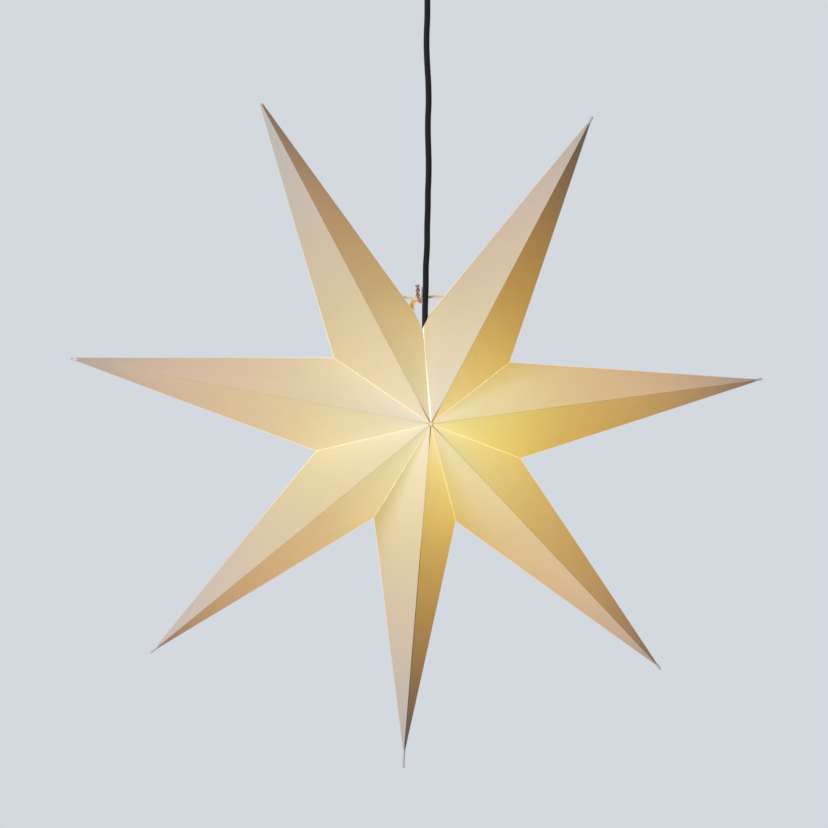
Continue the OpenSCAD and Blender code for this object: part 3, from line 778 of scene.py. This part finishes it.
# A tape is a flat oval carried along a path, its width lying along the given way.
# One of its edges may carry a painted highlight, on the side litSide.
def tapeAlong(path, acrossWay, width, thickness, tone, litSide=0, sides=24):
    way, across, out = pathWays(path, acrossWay)
    turn = roundCircle(sides)
    flat = np.sign(np.cos(turn)) * np.abs(np.cos(turn)) ** 0.5 * width / 2
    thick = np.sin(turn) * thickness / 2
    points = path[:, None] + flat[None, :, None] * across[:, None] + thick[None, :, None] * out[:, None]
    run = runAlong(path)
    rows = len(path)
    faces = gridFaces(rows, sides) + fanFaces(0, sides, rows * sides, flip=True)
    faces += fanFaces((rows - 1) * sides, sides, rows * sides + 1)
    rim = smooth(flat * litSide / width * 2, 0.45, 0.8)
    weave = together(points.shape[:2], run[:, None], flat, rim).reshape(-1, 3)
    weave = np.vstack([weave, [0, 0, 0], [run[-1], 0, 0]])
    return (np.vstack([points.reshape(-1, 3), path[0], path[-1]]), faces,
            {"weave": weave, "tone": np.tile(tone, (len(weave), 1))})


# A knot is a three-lobed closed curve (sin t + 2 sin 2t, cos t - 2 cos 2t, -sin 3t), pulled tight
def knotAt(centre, size, tone, turned=0.0):
    t = np.linspace(0.03, 2 * np.pi - 0.03, 90)
    reach = (size - tie["strandWidth"]) / 6
    x, z = np.sin(t) + 2 * np.sin(2 * t), np.cos(t) - 2 * np.cos(2 * t)
    c, w = math.cos(turned), math.sin(turned)
    curve = np.stack([x * c - z * w, -np.sin(3 * t) * tie["knotDepth"], x * w + z * c], axis=-1) * reach
    return tapeAlong(np.array(centre) + curve, depthWay, tie["strandWidth"], tie["strandThickness"], tone)


# Several closed forms in one mesh, each part's faces counted on from the last
def joined(parts):
    points, faces, facts, start = [], [], {}, 0
    for partPoints, partFaces, partFacts in parts:
        points.append(partPoints)
        faces += [[start + corner for corner in face] for face in partFaces]
        start += len(partPoints)
        for key, values in partFacts.items():
            facts.setdefault(key, []).append(values)
    return np.vstack(points), faces, {key: np.vstack(values) for key, values in facts.items()}


# Where the tape's line meets the back panel of a point beside the top notch, and how square it does
def panelCrossing(k):
    notch, apex, back = notchAt(0), apexAt(k), np.array([0, star["halfDepth"], 0.0])
    n = np.cross(apex - notch, back - notch)
    x = notch[0] - (n[1] * tie["depth"] + n[2] * (tie["height"] - notch[2])) / n[0]
    return x, abs(n[0]) / np.linalg.norm(n)


def stopperAt(k, outward):
    x, square = panelCrossing(k)
    return x + outward * (3.3 + star["cardThickness"]) / square


# A tape's width leans from lying flat in the card's hole to showing its face
def leaning(count, first, last):
    a = np.radians(np.linspace(first, last, count))
    return np.stack([a * 0, np.cos(a), np.sin(a)], axis=-1)


def makeTies():
    paint = tapePaint()
    y, z = tie["depth"], tie["height"]
    width, thickness = tie["width"], tie["thickness"]
    kx, ky, kz = tie["knotAt"]
    farLeft, farRight = stopperAt(0, -1), stopperAt(1, 1)
    leftRun = curveThrough([(farLeft, y, z), (farLeft + 4, y, z), (-20, y, z - 0.2), (-14, y, z - 0.9),
                            (-7, y, z - 1.9), (kx - 1, y, z - 2.4)], 70)
    a = np.radians(np.linspace(*tie["curlAngles"], 30))
    cx, cy, cz = tie["curlAt"]
    curl = np.stack([cx + tie["curlRadius"] * np.cos(a), cy + 0.8 * np.linspace(0, 1, 30) ** 3,
                     cz + tie["curlRadius"] * np.sin(a)], axis=-1)
    curlAcross = np.stack([np.cos(a), 0.35 * np.linspace(0, 1, 30), np.sin(a)], axis=-1)
    left = [tapeAlong(leftRun, leaning(70, 26, 62), width, thickness, tie["cream"], 1),
            tapeAlong(curl, curlAcross, tie["curlWidth"], thickness, tie["tan"], -1),
            knotAt((kx, ky, kz), tie["knotSize"], tie["red"], 0.4),
            knotAt((farLeft, y, z), tie["stopperSize"], tie["cream"], 1.0)]
    rightRun = curveThrough([(kx + 3.2, y + 0.4, z - 1.6), (6, y + 0.3, z - 0.4), (12, y + 0.2, z + 0.5),
                             (18, y + 0.1, z + 0.5), (farRight - 8, y, z + 0.1), (farRight - 4, y, z),
                             (farRight, y, z)], 70)
    tail = curveThrough([(kx - 1.2, ky + 1.2, kz + 1.5), (-2.6, 7.9, 130.5), (-3.4, 8.1, 134),
                         (-3.0, 8.0, 138), (-3.5, 8.1, 142)], 60)
    twist = np.linspace(0.3, 0.3 + 3 * np.pi, 60)
    twisted = np.stack([np.cos(twist), np.sin(twist), twist * 0], axis=-1)
    upright = curveThrough([(kx + 1.2, ky + 1.4, kz + 1.5), (0.9, 8.0, 130.5), (1.1, 8.1, 135),
                            (1.3, 8.1, 140)], 30)
    right = [tapeAlong(rightRun, leaning(70, 56, 26), width, thickness, tie["peach"]),
             tapeAlong(tail, twisted, tie["tailWidth"], tie["tailThickness"], tie["purple"]),
             tapeAlong(upright, (1, 0.5, 0), 1.7, thickness, tie["greyGreen"]),
             knotAt((farRight, y, z), tie["stopperSize"], tie["cream"], 2.0)]
    for name, parts, node in (("tieLeft", left, "tie_left"), ("tieRight", right, "tie_right")):
        points, faces, facts = joined(parts)
        makePiece(name, points * mm + starCentre, faces, [paint], [node], facts)


# A mesh's corners as rows of three numbers
def cornersOf(mesh):
    corners = np.zeros(len(mesh.vertices) * 3, dtype=np.float32)
    mesh.vertices.foreach_get("co", corners)
    return corners.reshape(-1, 3).astype(float)


# A punched hole: a cylinder along X is taken out of the card. Each corner gets its own facts back,
# and a new one gets those of the nearest outer corner.
def punchHole(piece, k):
    x = panelCrossing(k)[0]
    centre = starCentre + np.array([x, tie["depth"], tie["height"]]) * mm
    sides = tie["holeSides"]
    turn = roundCircle(sides)
    ring = np.stack([turn * 0, np.cos(turn), np.sin(turn)], axis=-1) * tie["holeDiameter"] / 2 * mm
    shift = np.array([tie["holeRun"] / 2 * mm, 0, 0])
    points = np.vstack([centre - shift + ring, centre + shift + ring, centre - shift, centre + shift])
    faces = gridFaces(2, sides)
    faces += fanFaces(0, sides, 2 * sides, flip=True) + fanFaces(sides, sides, 2 * sides + 1)
    mesh = bpy.data.meshes.new("punch")
    mesh.from_pydata(points.tolist(), [], faces)
    punch = putInScene("punch", mesh)
    hole = piece.modifiers.new("hole", "BOOLEAN")
    hole.operation, hole.solver, hole.object = "DIFFERENCE", "EXACT", punch
    graph = bpy.context.evaluated_depsgraph_get()
    before = piece.data
    after = bpy.data.meshes.new_from_object(piece.evaluated_get(graph))
    piece.modifiers.clear()
    piece.data = after
    bpy.data.objects.remove(punch)
    facts = {key: np.zeros(len(before.vertices) * 3, dtype=np.float32) for key in cardFacts}
    for key in cardFacts:
        before.attributes[key].data.foreach_get("vector", facts[key])
        facts[key] = facts[key].reshape(-1, 3)
    old, new = cornersOf(before), cornersOf(after)
    everyPlace, place = np.unique(np.round(np.vstack([old, new]) / 1e-7), axis=0, return_inverse=True)
    cornerAt = np.full(len(everyPlace), -1)
    cornerAt[place.ravel()[:len(old)]] = np.arange(len(old))
    nearest = cornerAt[place.ravel()[len(old):]]
    cut = np.flatnonzero(nearest < 0)
    outer = np.flatnonzero(facts["fold"][:, 2] < 0.5)
    gaps = np.linalg.norm(new[cut][:, None] - old[outer][None], axis=-1)
    nearest[cut] = outer[gaps.argmin(axis=1)]
    for key in cardFacts:
        if key in after.attributes:
            after.attributes.remove(after.attributes[key])
        layer = after.attributes.new(key, "FLOAT_VECTOR", "POINT")
        layer.data.foreach_set("vector", facts[key][nearest].ravel())


cardMaterial = cardPaint()
for k, name in enumerate(star["nodes"]):
    points, faces, facts = starPoint(k)
    piece = makePiece("card_" + name, points, faces, [cardMaterial], [name], facts,
                      foldAngle=card["foldAngle"])
    if k < 2:
        punchHole(piece, k)
print("seven points folded")
makeTies()
print("ties knotted")


# The bulb: contact, black insulator, threaded brass cap and frosted glass ball
bulb = {
    "top": -435.8,
    "contactRadius": 2.4,
    "capRadius": 6.7,
    "capHeight": 22.0,
    "threadPitch": 2.8,
    "threadDepth": 0.5,
    "ballRadius": 22.5,
    "ballAt": -491.3,
    "sides": 96,
    "glass": (0.34, 0.32, 0.28),
    "frost": (0.42, 0.41, 0.38),
    "lit": (0.60, 0.43, 0.22),
    "litAtNeck": (0.34, 0.21, 0.09),
    "brass": (0.78, 0.60, 0.28),
    "tarnish": (0.42, 0.27, 0.11),
    "black": (0.008, 0.008, 0.012),
    "blackSpecks": (0.03, 0.028, 0.035),
}


# Frosted glass, lit most in the ball and less towards the cap
def glassPaint():
    paint = Paint("frostedGlass", Roughness=0.35, Emission_Strength=1.0)
    place = paint.place()
    height = paint.node("ShaderNodeSeparateXYZ", None, {0: place}, out="Z")
    frost = paint.noise(place, 1600.0, 3.0, 0.6)
    towardsCap = paint.ease(height, (bulb["ballAt"] + 8) * mm, (bulb["top"] - bulb["capHeight"]) * mm)
    lit = paint.mix(towardsCap, bulb["lit"], bulb["litAtNeck"])
    base = paint.mix(frost * 0.5, bulb["glass"], bulb["frost"])
    return paint.feed(Base_Color=base, Emission_Color=paint.dim(lit, 0.94 + frost * 0.12),
                      Roughness=paint.ease(frost, 0.3, 0.7, 0.3, 0.5),
                      Normal=paint.bump(frost, 0.2, 0.0001))


# Brushed brass with tarnished patches
def brassPaint():
    paint = Paint("bulbBrass", Metallic=1.0)
    place = paint.place()
    stain = paint.noise(place, 180.0, 5.0, 0.6)
    brushed = paint.noise(paint.stretch(place, (150, 150, 4000)), 1.0, 3.0, 0.6)
    colour = paint.mix(paint.ease(stain, 0.48, 0.72) * 0.7, bulb["brass"], bulb["tarnish"])
    return paint.feed(Base_Color=colour, Roughness=paint.ease(stain + brushed * 0.4, 0.4, 1.0, 0.2, 0.5),
                      Normal=paint.bump(brushed, 0.15, 0.0001))


# Shiny black glass with fine specks
def insulatorPaint():
    paint = Paint("blackGlass", Specular_IOR_Level=0.6)
    speck = paint.noise(paint.place(), 700.0, 4.0, 0.6)
    colour = paint.mix(speck, bulb["black"], bulb["blackSpecks"])
    return paint.feed(Base_Color=colour, Roughness=paint.ease(speck, 0.3, 0.7, 0.08, 0.25))


# A profile of radii and heights, turned round Z; the cap's thread is a helix
# of depth times (1 - cos(2 pi z / pitch + angle)) / 2
def makeBulb():
    top, cap = bulb["top"], bulb["capRadius"]
    capEnd = top - bulb["capHeight"]
    rows = [(0.9, top), (1.9, top - 0.15), (bulb["contactRadius"], top - 0.6),
            (bulb["contactRadius"], top - 1.4), (2.7, top - 1.5), (4.4, top - 2.3), (5.6, top - 3.2),
            (5.8, top - 3.6), (6.1, top - 3.8), (6.4, top - 4.2)]
    parts = [1, 1, 1, 2, 2, 2, 2, 1, 1]
    threaded = np.linspace(top - 4.6, capEnd + 1.2, 110)
    rows += [(cap, z) for z in threaded] + [(cap, capEnd + 0.6), (6.5, capEnd + 0.1), (6.3, capEnd - 0.1)]
    parts += [1] * (len(rows) - 1 - len(parts))
    ball = np.radians(np.linspace(40, -88, 44))
    ballStart = (bulb["ballRadius"] * math.cos(ball[0]), 0,
                 bulb["ballAt"] + bulb["ballRadius"] * math.sin(ball[0]))
    neck = curveThrough([(6.6, 0, capEnd - 0.4), (7.3, 0, capEnd - 1.2), (8.0, 0, capEnd - 4.5),
                         (10.9, 0, capEnd - 9.6), ballStart], 26)
    rows += [(r, z) for r, _, z in neck]
    rows += [(bulb["ballRadius"] * math.cos(a), bulb["ballAt"] + bulb["ballRadius"] * math.sin(a))
             for a in ball[1:]]
    parts += [0] * (len(rows) - 1 - len(parts))
    profile = np.array(rows)
    angle = roundCircle(bulb["sides"])
    radius = np.broadcast_to(profile[:, :1], (len(rows), len(angle)))
    z = np.broadcast_to(profile[:, 1:], radius.shape)
    fade = smooth(z, capEnd + 1.2, capEnd + 3) * (1 - smooth(z, top - 7, top - 4.6))
    groove = bulb["threadDepth"] * (1 - np.cos(2 * np.pi * z / bulb["threadPitch"] + angle)) / 2
    radius = radius - groove * fade
    points = np.stack([radius * np.cos(angle), radius * np.sin(angle), z], axis=-1).reshape(-1, 3)
    points = np.vstack([points, [0, 0, top], [0, 0, bulb["ballAt"] - bulb["ballRadius"]]])
    columns, count = bulb["sides"], len(rows)
    faces = gridFaces(count, columns, flip=True) + fanFaces(0, columns, count * columns)
    faces += fanFaces((count - 1) * columns, columns, count * columns + 1, flip=True)
    indices = np.r_[np.repeat(parts, columns), np.full(columns, 1), np.full(columns, 0)]
    makePiece("bulbWithCap", points * mm, faces, [glassPaint(), brassPaint(), insulatorPaint()],
              ["bulb"], indices=indices, foldAngle=50)


makeBulb()
print("bulb turned")


# Finishes of the CAD pieces that stay as they are. Scales are in pattern repeats a metre.
fittings = {
    "satinBlackPlastic": {
        "nodes": ("holder_cap", "holder_skirt", "ceiling_cup", "cord_grip", "grip_nut"),
        "colour": (0.016, 0.016, 0.017), "patches": (0.028, 0.028, 0.029),
        "patchScale": 45, "grainScale": 2600,
        "rough": (0.36, 0.54), "bump": 0.35, "depth": 0.00012, "shine": 0.3},
    "ceramicCore": {
        "nodes": ("holder_core",),
        "colour": (0.82, 0.80, 0.74), "patches": (0.70, 0.66, 0.58), "patchScale": 220, "grainScale": 1800,
        "rough": (0.55, 0.8), "bump": 0.4, "depth": 0.0001},
    "turnedBrass": {
        "nodes": ("thread_sleeve", "centre_contact", "holder_terminals"), "metal": 1.0,
        "colour": (0.78, 0.60, 0.28), "patches": (0.50, 0.33, 0.14), "patchScale": 160, "grainScale": 900,
        "rough": (0.2, 0.42), "bump": 0.15, "depth": 0.00008, "stretch": (0.2, 0.2, 4)},
    "zincPlate": {
        "nodes": ("cord_clamp", "holder_screws", "ceiling_bracket", "grip_screw", "block_screws"),
        "metal": 1.0,
        "colour": (0.66, 0.67, 0.69), "patches": (0.60, 0.58, 0.52), "patchScale": 130, "grainScale": 1100,
        "rough": (0.28, 0.5), "bump": 0.2, "depth": 0.00008, "stretch": (3, 0.4, 1)},
    "blackenedScrews": {
        "nodes": ("cup_screws",), "metal": 1.0,
        "colour": (0.045, 0.044, 0.045), "patches": (0.11, 0.105, 0.10),
        "patchScale": 300, "grainScale": 2200,
        "rough": (0.35, 0.55), "bump": 0.25, "depth": 0.0001},
    "blockNylon": {
        "nodes": ("terminal_block",),
        "colour": (0.84, 0.83, 0.79), "patches": (0.76, 0.74, 0.67), "patchScale": 110, "grainScale": 1700,
        "rough": (0.42, 0.6), "bump": 0.25, "depth": 0.0001},
    "brownSleeving": {
        "nodes": ("holder_lead_live", "cup_lead_live"),
        "colour": (0.24, 0.11, 0.05), "patches": (0.17, 0.07, 0.03), "patchScale": 240, "grainScale": 1400,
        "rough": (0.35, 0.5), "bump": 0.25, "depth": 0.00008, "stretch": (3, 3, 0.15)},
    "blueSleeving": {
        "nodes": ("holder_lead_neutral", "cup_lead_neutral"),
        "colour": (0.08, 0.20, 0.50), "patches": (0.05, 0.14, 0.38), "patchScale": 240, "grainScale": 1400,
        "rough": (0.35, 0.5), "bump": 0.25, "depth": 0.00008, "stretch": (3, 3, 0.15)},
}


# Soft patches of a second colour, and a grain that roughens and lifts the surface
def fittingPaint(name, look):
    paint = Paint(name, Metallic=look.get("metal", 0.0), Specular_IOR_Level=look.get("shine", 0.5))
    place = paint.place()
    patch = paint.noise(place, look["patchScale"], 4.0, 0.55)
    grain = paint.noise(paint.stretch(place, look.get("stretch", (1, 1, 1))), look["grainScale"], 3.0, 0.6)
    colour = paint.mix(paint.ease(patch, 0.42, 0.7) * 0.8, look["colour"], look["patches"])
    low, high = look["rough"]
    worn = patch * 0.5 + grain * 0.5
    return paint.feed(Base_Color=colour, Roughness=paint.ease(worn, 0.35, 0.65, low, high),
                      Normal=paint.bump(grain, look["bump"], look["depth"]))


for name, look in fittings.items():
    material = fittingPaint(name, look)
    for node in look["nodes"]:
        for place in nodes[node].material_slots:
            place.material = material
print("fittings finished")


# Plain soft light from the left front, a pale floor and a pale surround that only the camera,
# gloss and glass see at its full level
stage = {
    # each lamp's bearing and height in degrees, distance and size in metres, and power in watts
    "lamps": {"key": (-40, 16, 3.2, 1.6, 68.0), "lowFill": (-78, -11, 1.9, 1.2, 7.0)},
    "ambient": 0.11,
    "pale": (0.66, 0.69, 0.74),
    "floorHeight": -2.4,     # a common room height below the ceiling
    "floorRings": (0.4, 1.0, 2.0, 4.0, 8.0, 14.0),
    "floorSides": 96,
    "shadowFade": (0.8, 2.4),
    "floorLift": 0.62,
}


# A lamp's own back points away from the star
def makeStage():
    for name, (bearing, height, distance, size, power) in stage["lamps"].items():
        back = lineOfSight(bearing, height)
        data = bpy.data.lights.new(name, "AREA")
        data.shape, data.size, data.energy = "DISK", size, power
        lamp = putInScene(name, data)
        side = np.cross([0, 0, 1], back)
        side /= np.linalg.norm(side)
        turn = Matrix(np.array([side, np.cross(back, side), back]).T.tolist()).to_4x4()
        lamp.matrix_world = Matrix.Translation((starCentre + back * distance).tolist()) @ turn
    world = bpy.data.worlds.new("surround")
    world.use_nodes = True
    scene.world = world
    tree = world.node_tree
    tree.nodes.clear()
    out = tree.nodes.new("ShaderNodeOutputWorld")
    path = tree.nodes.new("ShaderNodeLightPath")
    seen = path.outputs["Is Camera Ray"]
    for name in ("Is Glossy Ray", "Is Transmission Ray"):
        either = tree.nodes.new("ShaderNodeMath")
        either.operation, either.use_clamp = "ADD", True
        tree.links.new(seen, either.inputs[0])
        tree.links.new(path.outputs[name], either.inputs[1])
        seen = either.outputs[0]
    pick = tree.nodes.new("ShaderNodeMix")
    pick.data_type = "RGBA"
    tree.links.new(seen, pick.inputs[0])
    pick.inputs[6].default_value = (stage["ambient"],) * 3 + (1,)
    pick.inputs[7].default_value = (*stage["pale"], 1)
    sky = tree.nodes.new("ShaderNodeBackground")
    tree.links.new(pick.outputs[2], sky.inputs["Color"])
    tree.links.new(sky.outputs[0], out.inputs["Surface"])


# The floor keeps a soft shadow near the middle, fades into the surround further out, and isn't seen
# from below
def floorPaint():
    paint = Paint("floor", Roughness=0.9, Specular_IOR_Level=0.0)
    tree = paint.tree
    out = next(n for n in tree.nodes if n.type == "OUTPUT_MATERIAL")
    paint.shader.inputs["Base Color"].default_value = (*stage["pale"], 1)
    paths = [paint.node("ShaderNodeLightPath", out=name)
             for name in ("Is Camera Ray", "Is Glossy Ray", "Is Transmission Ray")]
    seen = paths[0] + paths[1] + paths[2]
    place = paint.place()
    radius = paint.node("ShaderNodeVectorMath", {"operation": "LENGTH"},
                        {0: paint.stretch(place, (1, 1, 0))}, out="Value")
    far = paint.ease(radius, *stage["shadowFade"])
    lift = paint.node("ShaderNodeEmission", None,
                      {"Color": (*stage["pale"], 1), "Strength": stage["floorLift"]})
    full = paint.node("ShaderNodeEmission", None, {"Color": (*stage["pale"], 1), "Strength": 1.0})
    plain = Wire(paint, paint.shader.outputs[0])
    lifted = paint.node("ShaderNodeAddShader", None, {0: plain, 1: lift})
    seenShader = paint.node("ShaderNodeMixShader", None, {0: far, 1: lifted, 2: full})
    final = paint.node("ShaderNodeMixShader", None, {0: seen, 1: plain, 2: seenShader})
    under = paint.node("ShaderNodeNewGeometry", out="Backfacing")
    clear = paint.node("ShaderNodeBsdfTransparent")
    final = paint.node("ShaderNodeMixShader", None, {0: under, 1: final, 2: clear})
    tree.links.new(final.socket, out.inputs["Surface"])
    return paint.material


# Rings of a flat disk round the star
def makeFloor():
    sides = stage["floorSides"]
    around = roundCircle(sides)
    radii = np.array(stage["floorRings"])
    points = np.stack([radii[:, None] * np.cos(around), radii[:, None] * np.sin(around),
                       np.full((len(radii), sides), stage["floorHeight"])], axis=-1).reshape(-1, 3)
    points = np.vstack([points, [0, 0, stage["floorHeight"]]])
    faces = gridFaces(len(radii), sides, flip=True) + fanFaces(0, sides, len(points) - 1)
    mesh = bpy.data.meshes.new("floor")
    mesh.from_pydata(points.tolist(), [], faces)
    mesh.materials.append(floorPaint())
    putInScene("floor", mesh)


makeStage()
makeFloor()
scene.view_settings.view_transform = "Standard"
print("light and floor placed")
